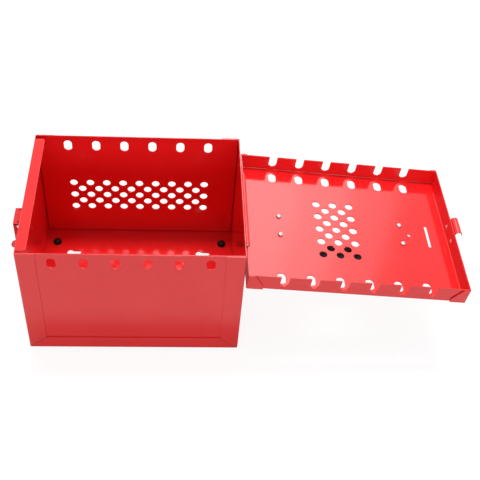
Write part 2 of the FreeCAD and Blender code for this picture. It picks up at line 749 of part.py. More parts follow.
def keeper():
    thick = size("keeper_sheet")
    inside = size("keeper_radius")
    half = size("keeper_width") / 2
    plate_top = lid_inside - size("keeper_edge")
    plate_low = plate_top - size("keeper_plate_height")
    wide = size("keeper_plate") / 2
    plate = block("keeper_flat", (-lid_x - thick, -wide, plate_low), (-lid_x, wide, plate_top))
    neck = block("keeper_neck", (-lid_x - thick, -half, hook_z), (-lid_x, half, plate_top))
    ring = doc.addObject("Part::Cylinder", "keeper_roll")
    ring.Placement = Placement(Vector(), Rotation(Vector(1, 0, 0), -90))
    bind(ring, "Radius", inside + thick)
    bind(ring, "Height", half * 2)
    bind(ring, "Angle", size("keeper_roll"))
    put(ring, (hook_x, -half, hook_z))
    hollow = rod("keeper_hollow", (hook_x, -half - SAFE, hook_z), "y", inside, half * 2 + 2 * SAFE)
    roll = cut("keeper_rolled", ring, [hollow])
    lip = doc.addObject("Part::Box", "keeper_lip")
    roll_end = number(size("keeper_roll"))
    lip.Placement = Placement(Vector(), Rotation(Vector(0, 1, 0), roll_end - 180))
    reach = inside + thick
    tip = math.radians(roll_end)
    bind(lip, "Length", thick)
    bind(lip, "Width", half * 2)
    bind(lip, "Height", size("keeper_lip"))
    put(lip, (hook_x + reach * math.cos(tip), -half, hook_z - reach * math.sin(tip)))
    body = fuse("keeper_whole", [plate, neck, roll, lip])
    holes = []
    for index, y in enumerate(keeper_rivet_spots()):
        spot = (-lid_x - SAFE, y, lid_inside - size("keeper_rivet_drop"))
        holes.append(rod("keeper_plate_hole_%d" % index, spot, "x", size("small_rivet"), 2 * SAFE))
    keep("latch_keeper", cut("latch_keeper_cut", body, holes), lid_open)


def small_rivet(name, head_x, tail_x, y, z):
    """A rivet along X: domed head on the outer face, small tail on the inner face."""
    shank = rod(name + "_shank", (head_x, y, z), "x", size("small_rivet"), tail_x - head_x)
    head = dome(name + "_head", (head_x, y, z), "-x", size("small_rivet_head"), size("small_head_height"))
    tail = dome(name + "_tail", (tail_x, y, z), "x", size("small_tail"), size("small_tail_height"))
    return fuse(name, [shank, head, tail])


def keeper_rivets():
    z = lid_inside - size("keeper_rivet_drop")
    outside = -lid_x - size("keeper_sheet")
    rivets = [small_rivet("keeper_rivet_%d" % index, outside, -skirt_x, y, z)
              for index, y in enumerate(keeper_rivet_spots())]
    keep("keeper_rivets", rivets, lid_open)


# Latch base: a plate riveted to the left wall, with two ears that carry the pivot pin.
ear_outside = size("latch_width") / 2 - size("latch_sheet") - size("latch_side_play")


def ear_plates():
    """Two gussets that reach the pivot from below, clear of the lever's folded top."""
    plate_face = -half_width - size("latch_sheet") / 2
    ear = size("ear_radius")
    outline = [
        (latch_x - ear * 0.87, latch_z - ear * 0.5),
        (latch_x + ear * 0.57, latch_z - ear * 0.82),
        (latch_x + ear * 1.12, latch_z - ear * 1.85),
        (plate_face, latch_z - ear * 2.3),
        (plate_face, latch_z - size("base_bottom")),
        (plate_face - size("latch_sheet") * 2, latch_z - size("base_bottom")),
    ]
    body = doc.addObject("PartDesign::Body", "ears_body")
    pad_outline(body, "ears_block", outline, ear_outside * 2, "Pad")
    low_end = latch_z - size("base_bottom") - SAFE
    wide = [
        (latch_x - ear - SAFE, latch_z + ear),
        (plate_face + SAFE, latch_z + ear),
        (plate_face + SAFE, low_end),
        (latch_x - ear - SAFE, low_end),
    ]
    pad_outline(body, "ears_gap", wide, (ear_outside - size("latch_sheet")) * 2, "Pocket")
    return body


def latch_base():
    thick = size("latch_sheet")
    wall = -half_width
    low_z = latch_z - size("base_bottom")
    high = (wall, ear_outside, low_z + size("base_height"))
    plate = block("base_plate", (wall - thick, -ear_outside, low_z), high)
    pieces = [plate, ear_plates()]
    for side, sign in (("front", -1), ("back", 1)):
        ys = sorted([ear_outside * sign, (ear_outside - thick) * sign], key=number)
        pieces.append(rod("ear_tip_" + side, (latch_x, ys[0], latch_z), "y", size("ear_radius"), thick))
    holes = [rod("ear_bore", (latch_x, -ear_outside - SAFE, latch_z), "y",
                 size("latch_pin") + size("latch_play"), (ear_outside + SAFE) * 2)]
    for index, z in enumerate(base_rivet_spots):
        spot = (wall - SAFE, ZERO, z)
        holes.append(rod("base_hole_%d" % index, spot, "x", size("small_rivet"), 2 * SAFE))
    keep("latch_base", cut("latch_base_cut", fuse("latch_base_solid", pieces), holes))


def latch_base_rivets():
    outside = -half_width - size("latch_sheet")
    inside = sheet - half_width
    rivets = [small_rivet("latch_rivet_%d" % index, outside, inside, ZERO, z)
              for index, z in enumerate(base_rivet_spots)]
    keep("latch_base_rivets", rivets)


def latch_pin():
    half = size("latch_width") / 2
    shaft = rod("latch_pin_shaft", (latch_x, -half, latch_z), "y", size("latch_pin"), half * 2)
    crown = size("loop_side_gap") / 3
    front = dome("latch_pin_front", (latch_x, -half, latch_z), "-y", size("latch_pin"), crown)
    back = dome("latch_pin_back", (latch_x, half, latch_z), "y", size("latch_pin"), crown)
    keep("latch_pivot_pin", fuse("latch_pin_whole", [shaft, front, back]))


# Lever: a pressed channel with a folded top, cheeks that taper to its foot, and a
# rounded finger tongue turned outwards.
loop_x = latch_x + size("loop_back")
loop_z = latch_z - size("loop_below")


def lever_outline(face, top, foot, thick):
    roof_end = face + size("lever_roof")
    wall_side = latch_x + size("cheek_depth")
    return [
        (face, foot),
        (face, top),
        (roof_end, top),
        (roof_end, top - thick),
        (latch_x + size("cheek_reach"), latch_z + size("cheek_rise")),
        (wall_side, latch_z - thick),
        (wall_side, loop_z - size("cheek_below")),
        (face + size("cheek_foot"), foot),
    ]


def pad_outline(body, name, outline, width, mode):
    """Pads or pockets an outline drawn in the XZ plane, evenly to both sides."""
    sketch = body.newObject("Sketcher::SketchObject", name + "_outline")
    plane = [item for item in body.Origin.OriginFeatures if item.Role == "XZ_Plane"][0]
    sketch.AttachmentSupport = (plane, [""])
    sketch.MapMode = "FlatFace"
    draw_outline(sketch, outline)
    feature = body.newObject("PartDesign::" + mode, name)
    feature.Profile = sketch
    feature.Midplane = True
    bind(feature, "Length", width)
    body.Tip = feature
    doc.recompute()
    return feature


def latch_lever():
    thick = size("latch_sheet")
    width = size("latch_width")
    face = latch_x - size("lever_face")
    top = latch_z + size("lever_top")
    foot_z = latch_z - size("lever_foot")
    body = doc.addObject("PartDesign::Body", "latch_lever_body")
    pad_outline(body, "lever_block", lever_outline(face, top, foot_z, thick), width, "Pad")
    hollow = [
        (face + thick, foot_z - SAFE),
        (face + thick, top - thick),
        (face + width, top - thick),
        (face + width, foot_z - SAFE),
    ]
    pad_outline(body, "lever_channel", hollow, width - thick * 2, "Pocket")
    relief_top = top - thick
    relief = [
        (face + thick, relief_top),
        (face + thick, relief_top - size("relief_drop")),
        (face + thick + size("relief_near"), relief_top - size("relief_drop")),
        (face + thick + size("relief_far"), relief_top),
    ]
    pad_outline(body, "lever_corner_relief", relief, width * 2, "Pocket")
    reach = size("tongue_reach")
    drop = size("tongue_drop")
    tongue = [
        (face, foot_z + size("tongue_root")),
        (face + thick, foot_z + size("tongue_root")),
        (face + thick, foot_z - thick * 0.6),
        (face - reach * 0.3, foot_z - drop * 0.55 - thick),
        (face - reach, foot_z - drop),
        (face - reach, foot_z - drop + thick),
        (face - reach * 0.3, foot_z - drop * 0.55),
        (face, foot_z),
    ]
    pressed = pad_outline(body, "finger_tongue", tongue, size("tongue_width"), "Pad")
    end_x = number(face - reach)
    corners = []
    for index, edge in enumerate(pressed.Shape.Edges, start=1):
        ends = [vertex.Point for vertex in edge.Vertexes]
        at_tip = len(ends) == 2 and near(ends[0].x, end_x) and near(ends[1].x, end_x)
        if at_tip and near(ends[0].y, ends[1].y):
            corners.append("Edge%d" % index)
    rounded = body.newObject("PartDesign::Fillet", "tongue_end")
    rounded.Base = (pressed, corners)
    bind(rounded, "Radius", size("tongue_width") * 0.45)
    body.Tip = rounded
    play = size("latch_play")
    bores = [
        rod("lever_pin_hole", (latch_x, -width, latch_z), "y", size("latch_pin") + play, width * 2),
        rod("lever_loop_hole", (loop_x, -width, loop_z), "y", size("loop_wire") + play, width * 2),
    ]
    keep("latch_lever", cut("latch_lever_bored", body, bores))


# Loop: a bent wire that hangs in the lever's cheeks and hooks into the keeper. It is
# built straight down from its pivot, then turned out until it lies on the lever's face.
seat_x = hook_x
seat_z = hook_z - size("keeper_radius") + size("loop_wire") + size("rest_gap")
loop_dx = seat_x - loop_x
loop_dz = seat_z - loop_z
loop_length = root(loop_dx * loop_dx + loop_dz * loop_dz)
loop_arm_y = size("latch_width") / 2 + size("loop_side_gap") + size("loop_wire")


def loop_rest_turn():
    """Angle of the hanging loop, outwards from straight down, in radians."""
    face = number(latch_x - size("lever_face"))
    rest = face - number(size("loop_wire")) - number(size("rest_gap"))
    return math.asin((number(loop_x) - rest) / number(loop_length))


def loop_wire(half, end_half):
    """The wire in the YZ plane: its two ends on the Y axis, its cross bar hanging below."""
    wire = size("loop_wire")
    corner = size("loop_corner")
    straight = half - corner
    down = Vector(0, 0, -1)
    pieces = [rod("loop_bar", (ZERO, -straight, -loop_length), "y", wire, straight * 2)]
    for side, sign in (("front", -1), ("back", 1)):
        out = Vector(0, sign, 0)
        arm_low = (ZERO, half * sign, corner - loop_length)
        pieces.append(rod("loop_arm_" + side, arm_low, "z", wire, loop_length - corner * 2))
        low = (ZERO, straight * sign, corner - loop_length)
        pieces.append(elbow("loop_low_" + side, low, out, down, corner, wire))
        pieces.append(elbow("loop_top_" + side, (ZERO, straight * sign, -corner), out, -down, corner, wire))
        ys = sorted([straight * sign, end_half * sign], key=number)
        pieces.append(rod("loop_end_" + side, (ZERO, ys[0], ZERO), "y", wire, ys[1] - ys[0]))
    return fuse("latch_loop_wire", pieces)


def latch_loop():
    end_half = size("latch_width") / 2 - size("latch_sheet") - size("latch_side_play") / 2
    turn = Rotation(Vector(0, 1, 0), math.degrees(loop_rest_turn()))
    pivot = Vector(number(loop_x), 0, number(loop_z))
    keep("latch_loop", loop_wire(loop_arm_y, end_half), Placement(pivot, turn))


# Handle: a bent rod held by two saddle brackets on top of the lid, with a turned grip.
pivot_z = lid_outside + size("handle_rod") + size("handle_lift")


def saddle(label, x):
    thick = size("bracket_sheet")
    bore = size("handle_rod") + size("handle_play")
    half = size("bracket_width") / 2
    long_half = size("bracket_length") / 2
    side = bore + thick
    flat_top = (x + half, long_half, lid_outside + thick)
    flat = block(label + "_flat", (x - half, -long_half, lid_outside), flat_top)
    hump = block(label + "_hump", (x - half, -side, lid_outside), (x + half, side, pivot_z))
    crown = rod(label + "_crown", (x - half, ZERO, pivot_z), "x", side, half * 2)
    solid = fuse(label + "_solid", [flat, hump, crown])
    end = number(long_half)
    solid = round_edges(
        label + "_corners", solid, size("bracket_width") * 0.3,
        lambda one, other: near(abs(one.y), end) and near(one.y, other.y) and near(one.x, other.x))
    low = (x - half - SAFE, -side - SAFE, lid_outside - SAFE)
    tools = [
        rod(label + "_bore", (x - half - SAFE, ZERO, pivot_z), "x", bore, half * 2 + 2 * SAFE),
        block(label + "_mouth", (low[0], -bore, low[2]), (x + half + SAFE, bore, pivot_z)),
        block(label + "_base", low, (x + half + SAFE, side + SAFE, lid_outside)),
    ]
    for index, y in enumerate(bracket_rivet_spots()):
        spot = (x, y, lid_outside - SAFE)
        tools.append(rod("%s_hole_%d" % (label, index), spot, "z", size("handle_rivet"), thick + 2 * SAFE))
    keep(label, cut(label + "_cut", solid, tools), lid_open)


def bracket_rivet_spots():
    return (-size("bracket_rivets") / 2, size("bracket_rivets") / 2)


def handle_rivets(label, x):
    rivets = []
    top = lid_outside + size("bracket_sheet")
    tail_height = size("handle_tail_height")
    for index, y in enumerate(bracket_rivet_spots()):
        name = "%s_%d" % (label, index)
        shank = rod(name + "_shank", (x, y, lid_inside), "z", size("handle_rivet"), top - lid_inside)
        head = dome(name + "_head", (x, y, top), "z", size("handle_rivet_head"), size("handle_head_height"))
        tail_spot = (x, y, lid_inside - tail_height)
        tail = rod(name + "_tail", tail_spot, "z", size("handle_rivet_tail"), tail_height)
        rivets.append(fuse(name, [shank, head, tail]))
    keep(label, rivets, lid_open)


def handle_bail():
    half_span = size("handle_span") / 2
    leg = half_span - size("handle_leg_inset")
    corner = size("handle_corner")
    small = size("handle_foot_corner")
    wire = size("handle_rod")
    middle = size("handle_shift")
    top = pivot_z + size("handle_reach")
    up = Vector(0, 0, 1)
    leg_height = top - corner - small - pivot_z
    pieces = [rod("handle_bar", (middle - leg + corner, ZERO, top), "x", wire, (leg - corner) * 2)]
    for side, sign in (("latch", -1), ("hinge", 1)):
        x = middle + leg * sign
        out = Vector(sign, 0, 0)
        pieces.append(rod("handle_leg_" + side, (x, ZERO, pivot_z + small), "z", wire, leg_height))
        upper = (x - corner * sign, ZERO, top - corner)
        pieces.append(elbow("handle_upper_" + side, upper, out, up, corner, wire))
        lower = (x + small * sign, ZERO, pivot_z + small)
        pieces.append(elbow("handle_lower_" + side, lower, -out, -up, small, wire))
        xs = sorted([x + small * sign, middle + (half_span + size("handle_end")) * sign], key=number)
        pieces.append(rod("handle_end_" + side, (xs[0], ZERO, pivot_z), "x", wire, xs[1] - xs[0]))
    keep("handle_bail", fuse("handle_bail_whole", pieces), lid_open)


def handle_grip():
    half = size("handle_span") / 2 - size("handle_leg_inset") - size("handle_corner") - size("grip_end_gap")
    start = (size("handle_shift") - half, ZERO, pivot_z + size("handle_reach"))
    blank = rod("grip_blank", start, "x", size("grip_radius"), half * 2)
    blank = round_edges("grip_ends", blank, size("grip_round"), lambda one, other: one.isEqual(other, 0.001))
    bore = rod("grip_bore", start, "x", size("handle_rod") + size("grip_play"), half * 2)
    keep("handle_grip", cut("grip_bored", blank, [bore]), lid_open)


box_body()
panel("front_panel", sheet - half_depth, False)
panel("back_panel", half_depth - sheet * 2, True)
for foot_spot in foot_spots():
    foot(*foot_spot)
hinge()
lid_pan()
keeper()
keeper_rivets()
latch_base()
latch_base_rivets()
latch_pin()
latch_lever()
latch_loop()
for bracket_side, bracket_sign in (("latch_side", -1), ("hinge_side", 1)):
    bracket_x = size("handle_shift") + size("handle_span") / 2 * bracket_sign
    saddle("handle_bracket_" + bracket_side, bracket_x)
    handle_rivets("handle_rivets_" + bracket_side, bracket_x)
handle_bail()
handle_grip()
doc.recompute()

for item in doc.Objects:
    if "Invalid" in item.State or "Error" in item.State:
        raise RuntimeError("does not build: " + item.Label)
os.makedirs("parts", exist_ok=True)
for piece in nodes:
    if piece.Shape.isNull() or not piece.Shape.isValid() or not piece.Shape.Solids:
        raise RuntimeError("no sound solid: " + piece.Label)
    piece.Shape.exportStep("parts/%s.step" % piece.Label)
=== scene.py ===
import json
import math

import bpy
from mathutils import Matrix, Vector


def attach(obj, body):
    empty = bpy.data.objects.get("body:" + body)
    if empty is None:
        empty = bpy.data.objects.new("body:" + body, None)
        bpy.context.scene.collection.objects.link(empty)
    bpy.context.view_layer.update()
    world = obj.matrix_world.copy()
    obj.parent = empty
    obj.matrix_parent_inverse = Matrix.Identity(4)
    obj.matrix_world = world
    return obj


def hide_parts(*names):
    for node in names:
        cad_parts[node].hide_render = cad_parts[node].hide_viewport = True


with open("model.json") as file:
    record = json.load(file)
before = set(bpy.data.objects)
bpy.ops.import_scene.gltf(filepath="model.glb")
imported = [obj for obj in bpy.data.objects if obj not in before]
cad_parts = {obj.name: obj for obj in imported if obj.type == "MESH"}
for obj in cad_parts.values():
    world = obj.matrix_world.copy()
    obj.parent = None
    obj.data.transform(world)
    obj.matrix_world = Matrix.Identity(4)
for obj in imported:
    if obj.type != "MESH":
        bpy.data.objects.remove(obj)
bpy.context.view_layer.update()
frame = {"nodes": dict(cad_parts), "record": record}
NODES = frame["nodes"]
scene = bpy.context.scene
MM = 0.001


# Colours are written as sRGB hex values and used as linear ones.
def linear(hex_colour):
    parts = [int(hex_colour[i:i + 2], 16) / 255 for i in (1, 3, 5)]
    return [c / 12.92 if c <= 0.04045 else ((c + 0.055) / 1.055) ** 2.4 for c in parts] + [1.0]


class Finish:
    """The node tree of one material, or of the room round the box, built up node by node."""

    def __init__(self, holder, output="OutputMaterial"):
        holder.use_nodes = True
        self.holder = holder
        self.tree = holder.node_tree
        self.tree.nodes.clear()
        self.output = self.tree.nodes.new("ShaderNode" + output)

    def add(self, kind, inputs=None, **settings):
        """Adds a node. Inputs go by socket name or number, and hold a value or another node's output."""
        node = self.tree.nodes.new("ShaderNode" + kind)
        for key, value in settings.items():
            setattr(node, key, value)
        for key, value in (inputs or {}).items():
            if isinstance(value, bpy.types.NodeSocket):
                self.tree.links.new(value, node.inputs[key])
            else:
                node.inputs[key].default_value = value
        return node.outputs

    def done(self, shader):
        self.tree.links.new(shader[0], self.output.inputs["Surface"])
        return self.holder


def millimetres(f):
    """Object coordinates in millimetres, so that a pattern's scale reads as turns per millimetre."""
    place = f.add("TexCoord")
    return f.add("VectorMath", {0: place["Object"], "Scale": 1000.0}, operation="SCALE")["Vector"]


def worn_edge(f, radius_mm, shown):
    """How sharply the surface turns within a radius, from 0 on a flat to `shown` on a cut edge."""
    rounded = f.add("Bevel", {"Radius": radius_mm * MM}, samples=6)
    flat = f.add("NewGeometry")
    turn = f.add("VectorMath", {0: rounded["Normal"], 1: flat["Normal"]}, operation="DOT_PRODUCT")
    mask = f.add("MapRange", {"Value": turn["Value"], "From Min": 0.995, "From Max": 0.86, "To Max": shown})
    return rounded["Normal"], mask["Result"]


# Polyester powder coat, sprayed on steel and baked: a glossy clean red, with the orange peel
# of a 3 mm flow pattern, slow waves of tone where the film is thicker, a paler thin film on
# cut edges and painted shade that darkens the seams, creases and inner corners.
def powder_coated_steel():
    f = Finish(bpy.data.materials.new("powder_coated_steel"))
    point = millimetres(f)
    rounded, edge = worn_edge(f, 0.45, 0.55)
    film = f.add("TexNoise", {"Vector": point, "Scale": 1 / 60, "Detail": 3.0, "Roughness": 0.45})
    tone = f.add("Mix", {0: film["Fac"], 6: linear("#E21A1D"), 7: linear("#EA2022")}, data_type="RGBA")
    thin = f.add("Mix", {0: edge, 6: tone[2], 7: linear("#F26A68")}, data_type="RGBA")
    # Painted shade: where the AO node finds walls within 2.4 mm, in seams, creases and inner corners, the red
    # is darkened towards #4A0508.
    near_walls = f.add("AmbientOcclusion", {"Distance": 2.4 * MM}, samples=8, only_local=False)
    painted_seam_shade = f.add("MapRange", {"Value": near_walls["AO"], "From Min": 0.1, "From Max": 0.62,
                                  "To Min": 0.1}, interpolation_type="SMOOTHSTEP")
    colour = f.add("Mix", {0: painted_seam_shade["Result"], 6: linear("#4A0508"), 7: thin[2]}, data_type="RGBA")
    peel = f.add("TexNoise", {"Vector": point, "Scale": 1 / 3, "Detail": 1.0, "Roughness": 0.4})
    wave = f.add("TexNoise", {"Vector": point, "Scale": 1 / 45, "Detail": 1.0, "Roughness": 0.4})
    sheet = f.add("Bump", {"Strength": 0.35, "Distance": 0.25 * MM, "Height": wave["Fac"], "Normal": rounded})
    bump = f.add("Bump", {"Strength": 0.12, "Distance": 0.05 * MM, "Height": peel["Fac"],
                          "Normal": sheet["Normal"]})
    haze = f.add("TexNoise", {"Vector": point, "Scale": 1 / 25, "Detail": 4.0, "Roughness": 0.6})
    rough = f.add("MapRange", {"Value": haze["Fac"], "To Min": 0.09, "To Max": 0.16})
    shader = f.add("BsdfPrincipled", {"Base Color": colour[2], "Roughness": rough["Result"], "IOR": 1.5,
                                      "Normal": bump["Normal"]})
    return f.done(shader)


# Zinc plated steel wire and pressings, bright passivated and tumbled: cool grey, satin,
# with cloudy patches of about 8 mm and fine tumbling marks.
def zinc_plated_steel():
    f = Finish(bpy.data.materials.new("zinc_plated_steel"))
    point = millimetres(f)
    rounded, edge = worn_edge(f, 0.3, 0.5)
    cloud = f.add("TexNoise", {"Vector": point, "Scale": 1 / 8, "Detail": 4.0, "Roughness": 0.6})
    plating = f.add("Mix", {0: cloud["Fac"], 6: linear("#A9ACAF"), 7: linear("#D3D4D3")}, data_type="RGBA")
    tint = f.add("Mix", {0: edge, 6: plating[2], 7: linear("#EDEDEC")}, data_type="RGBA")
    marks = f.add("TexNoise", {"Vector": point, "Scale": 1 / 0.7, "Detail": 3.0, "Roughness": 0.7})
    bump = f.add("Bump", {"Strength": 0.2, "Distance": 0.03 * MM, "Height": marks["Fac"], "Normal": rounded})
    rough = f.add("MapRange", {"Value": cloud["Fac"], "To Min": 0.24, "To Max": 0.46})
    shader = f.add("BsdfPrincipled", {"Base Color": tint[2], "Roughness": rough["Result"], "Metallic": 1.0,
                                      "Normal": bump["Normal"]})
    return f.done(shader)


# Drawn aluminium blind rivets, left bare: pale and satin, with the set tool's faint marks.
def drawn_aluminium():
    f = Finish(bpy.data.materials.new("drawn_aluminium"))
    point = millimetres(f)
    rounded, edge = worn_edge(f, 0.25, 0.4)
    grain = f.add("TexNoise", {"Vector": point, "Scale": 1 / 0.8, "Detail": 3.0, "Roughness": 0.6})
    metal = f.add("Mix", {0: grain["Fac"], 6: linear("#C2C4C6"), 7: linear("#E6E7E6")}, data_type="RGBA")
    tint = f.add("Mix", {0: edge, 6: metal[2], 7: linear("#F4F4F3")}, data_type="RGBA")
    bump = f.add("Bump", {"Strength": 0.25, "Distance": 0.03 * MM, "Height": grain["Fac"], "Normal": rounded})
    shader = f.add("BsdfPrincipled", {"Base Color": tint[2], "Roughness": 0.36, "Metallic": 1.0,
                                      "Normal": bump["Normal"]})
    return f.done(shader)


# Moulded black polypropylene grip: soft sheen over a spark-eroded grain of about 1 mm,
# rubbed smoother and greyer on its high rims.
def moulded_polypropylene():
    f = Finish(bpy.data.materials.new("moulded_polypropylene"))
    point = millimetres(f)
    rounded, edge = worn_edge(f, 0.6, 0.6)
    tone = f.add("TexNoise", {"Vector": point, "Scale": 1 / 14, "Detail": 2.0, "Roughness": 0.5})
    black = f.add("Mix", {0: tone["Fac"], 6: linear("#030303"), 7: linear("#090909")}, data_type="RGBA")
    rubbed = f.add("Mix", {0: edge, 6: black[2], 7: linear("#1E1E1F")}, data_type="RGBA")
    grain = f.add("TexVoronoi", {"Vector": point, "Scale": 1.0})
    bump = f.add("Bump", {"Strength": 0.3, "Distance": 0.08 * MM, "Height": grain["Distance"],
                          "Normal": rounded})
    rough = f.add("MapRange", {"Value": tone["Fac"], "To Min": 0.36, "To Max": 0.52})
    shader = f.add("BsdfPrincipled", {"Base Color": rubbed[2], "Roughness": rough["Result"],
                                      "Specular IOR Level": 0.16, "Normal": bump["Normal"]})
    return f.done(shader)


# Moulded nitrile rubber feet: matt black with a dusty bloom of about 5 mm patches.
def moulded_rubber():
    f = Finish(bpy.data.materials.new("moulded_rubber"))
    point = millimetres(f)
    bloom = f.add("TexNoise", {"Vector": point, "Scale": 1 / 5, "Detail": 4.0, "Roughness": 0.65})
    tint = f.add("Mix", {0: bloom["Fac"], 6: linear("#050505"), 7: linear("#0D0C0C")}, data_type="RGBA")
    pores = f.add("TexNoise", {"Vector": point, "Scale": 1 / 0.6, "Detail": 2.0, "Roughness": 0.6})
    bump = f.add("Bump", {"Strength": 0.3, "Distance": 0.05 * MM, "Height": pores["Fac"]})
    rough = f.add("MapRange", {"Value": bloom["Fac"], "To Min": 0.45, "To Max": 0.7})
    shader = f.add("BsdfPrincipled", {"Base Color": tint[2], "Roughness": rough["Result"],
                                      "Specular IOR Level": 0.2, "Normal": bump["Normal"]})
    return f.done(shader)


FINISH_OF_SLOT = {
    "red_powder_coat": powder_coated_steel(),
    "plated_steel": zinc_plated_steel(),
    "rivet_steel": drawn_aluminium(),
    "grip_plastic": moulded_polypropylene(),
    "foot_rubber": moulded_rubber(),
}
for part in frame["record"]["subparts"]:
    node = NODES[part["node"]]
    node.data.materials.clear()
    node.data.materials.append(FINISH_OF_SLOT[part["material_slot"]])


# Hand work on top of the CAD nodes: the push-in feet, the blind rivets of the handle and the
# grip are lathed with the curves they have, and the latch lever gets its deeper folded roof.
def fit(piece, slot, body, *nodes):
    """Gives a finished piece its material and its body, and hides the nodes that it stands for."""
    piece.data.materials.clear()
    piece.data.materials.append(FINISH_OF_SLOT[slot])
    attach(piece, body)
    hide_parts(*nodes)


def lathed(name, rings, place, sides=48):
    """A round piece, drawn out ring by ring: (height, radius) in mm along its own axis."""
    bpy.ops.object.select_all(action="DESELECT")
    height, radius = rings[0]
    spot = (0.0, 0.0, height * MM)
    bpy.ops.mesh.primitive_circle_add(vertices=sides, radius=radius * MM, fill_type="NGON", location=spot)
    piece = bpy.context.object
    piece.name = name
    bpy.ops.object.mode_set(mode="EDIT")
    bpy.ops.mesh.select_all(action="SELECT")
    for next_height, next_radius in rings[1:]:
        rise = (0.0, 0.0, (next_height - height) * MM)
        spread = next_radius / radius
        bpy.ops.mesh.extrude_region_move(TRANSFORM_OT_translate={"value": rise})
        bpy.ops.transform.resize(value=(spread, spread, 1.0), center_override=(0.0, 0.0, next_height * MM))
        height, radius = next_height, next_radius
    bpy.ops.mesh.select_all(action="SELECT")
    bpy.ops.mesh.normals_make_consistent(inside=False)
    bpy.ops.object.mode_set(mode="OBJECT")
    piece.matrix_world = place @ piece.matrix_world
    bpy.ops.object.transform_apply(location=True, rotation=True, scale=True)
    bpy.ops.object.shade_smooth_by_angle(angle=math.radians(42))
    return piece


def at(x, y, z):
    """A plain shift, in millimetres."""
    return Matrix.Translation(Vector((x, y, z)) * MM)


# The hinge axis and how far the lid is turned from closed to where it lies open.
HINGE = at(131.0, 0.0, 150.0)
LID_TURN = Matrix.Rotation(math.radians(184.93), 4, "Y")


def on_open_lid(x, y, z):
    """A place on the closed lid, carried round the hinge with it to where it lies open."""
    return HINGE @ LID_TURN @ HINGE.inverted() @ at(x, y, z)


# A push-in foot: its pad with a rolled rim, its neck, and the black dome that shows inside.
FOOT_RINGS = (
    (0.0, 5.9),
    (0.2, 6.7),
    (0.9, 7.5),
    (2.0, 8.0),
    (4.4, 8.0),
    (5.0, 7.5),
    (5.0, 4.0),
    (6.2, 4.0),
    (6.2, 5.1),
    (6.6, 5.5),
    (7.8, 5.5),
    (9.2, 5.1),
    (10.2, 4.3),
    (10.9, 3.1),
    (11.3, 1.6),
    (11.4, 0.4),
)
FOOT_X = 111.6
FOOT_Y = 73.7
for end, toward_back in (("front", -1), ("back", 1)):
    for side, toward_hinge in (("left", -1), ("right", 1)):
        spot = at(FOOT_X * toward_hinge, FOOT_Y * toward_back, 0.0)
        foot = lathed("push_in_foot_" + end + "_" + side, FOOT_RINGS, spot)
        fit(foot, "foot_rubber", "box", "rubber_foot_" + end + "_" + side)

# A blind rivet, from the set tail under the lid, with its mandrel's pit, to the domed head.
RIVET_RINGS = (
    (1.0, 0.8),
    (0.0, 1.0),
    (-0.4, 1.5),
    (-0.2, 2.3),
    (0.3, 2.85),
    (1.3, 3.0),
    (2.1, 2.8),
    (2.3, 2.35),
    (5.0, 2.35),
    (5.0, 4.3),
    (5.25, 4.4),
    (5.9, 3.9),
    (6.5, 2.8),
    (6.85, 1.5),
    (6.85, 1.0),
    (6.4, 0.9),
)
HANDLE_MIDDLE = 6.9
BRACKET_REACH = 77.3
RIVET_Y = 15.5
TAIL_END_Z = 172.2
for side, toward_hinge in (("latch_side", -1), ("hinge_side", 1)):
    pair = []
    for end, toward_back in (("front", -1), ("back", 1)):
        spot = on_open_lid(HANDLE_MIDDLE + BRACKET_REACH * toward_hinge, RIVET_Y * toward_back, TAIL_END_Z)
        pair.append(lathed("blind_rivets_" + side + "_" + end, RIVET_RINGS, spot, sides=32))
    pair[0].select_set(True)
    bpy.ops.object.join()
    rivets = bpy.context.object
    rivets.name = "blind_rivets_" + side
    fit(rivets, "rivet_steel", "lid", "handle_rivets_" + side)


# The grip: a moulded sleeve with collars at its ends and shallow ribs between them.
GRIP_LENGTH = 114.0
GRIP_Z = 217.5
COLLAR_LENGTH = 6.0
RIBS = 14
COLLAR_RINGS = (
    (2.0, 3.0),
    (0.4, 3.2),
    (0.0, 4.0),
    (0.0, 9.4),
    (0.5, 10.6),
    (1.4, 11.0),
    (4.6, 11.0),
    (5.1, 10.4),
)
# A rib's rings are given as shares of the ribs' pitch.
RIB_RINGS = ((0.0, 10.3), (0.25, 10.9), (0.65, 10.9), (0.9, 10.3))


def grip_rings():
    rings = list(COLLAR_RINGS)
    pitch = (GRIP_LENGTH - COLLAR_LENGTH * 2) / RIBS
    for rib in range(RIBS):
        rings += [(COLLAR_LENGTH + (rib + share) * pitch, radius) for share, radius in RIB_RINGS]
    rings += [(GRIP_LENGTH - height, radius) for height, radius in reversed(COLLAR_RINGS)]
    return rings


along_the_lid = Matrix.Rotation(math.pi / 2, 4, "Y")
grip_spot = on_open_lid(HANDLE_MIDDLE - GRIP_LENGTH / 2, 0.0, GRIP_Z) @ along_the_lid
grip = lathed("ribbed_grip", grip_rings(), grip_spot)
fit(grip, "grip_plastic", "handle", "handle_grip")


def choose_faces(piece, wanted):
    """Selects, in edit mode, the faces that `wanted` says yes to."""
    bpy.ops.mesh.select_mode(type="FACE")
    bpy.ops.mesh.select_all(action="DESELECT")
    bpy.ops.object.mode_set(mode="OBJECT")
    for face in piece.data.polygons:
        face.select = wanted(face)
    bpy.ops.object.mode_set(mode="EDIT")


# The lever's roof is folded deeper towards the wall, with slots where it passes the ears.
ROOF_END_X = -139.5
ROOF_UNDERSIDE_Z = 130.2
ROOF_FOLD = (4.0 * MM, 0.0, 0.7 * MM)
EAR_SLOT = (9.3, 11.2)


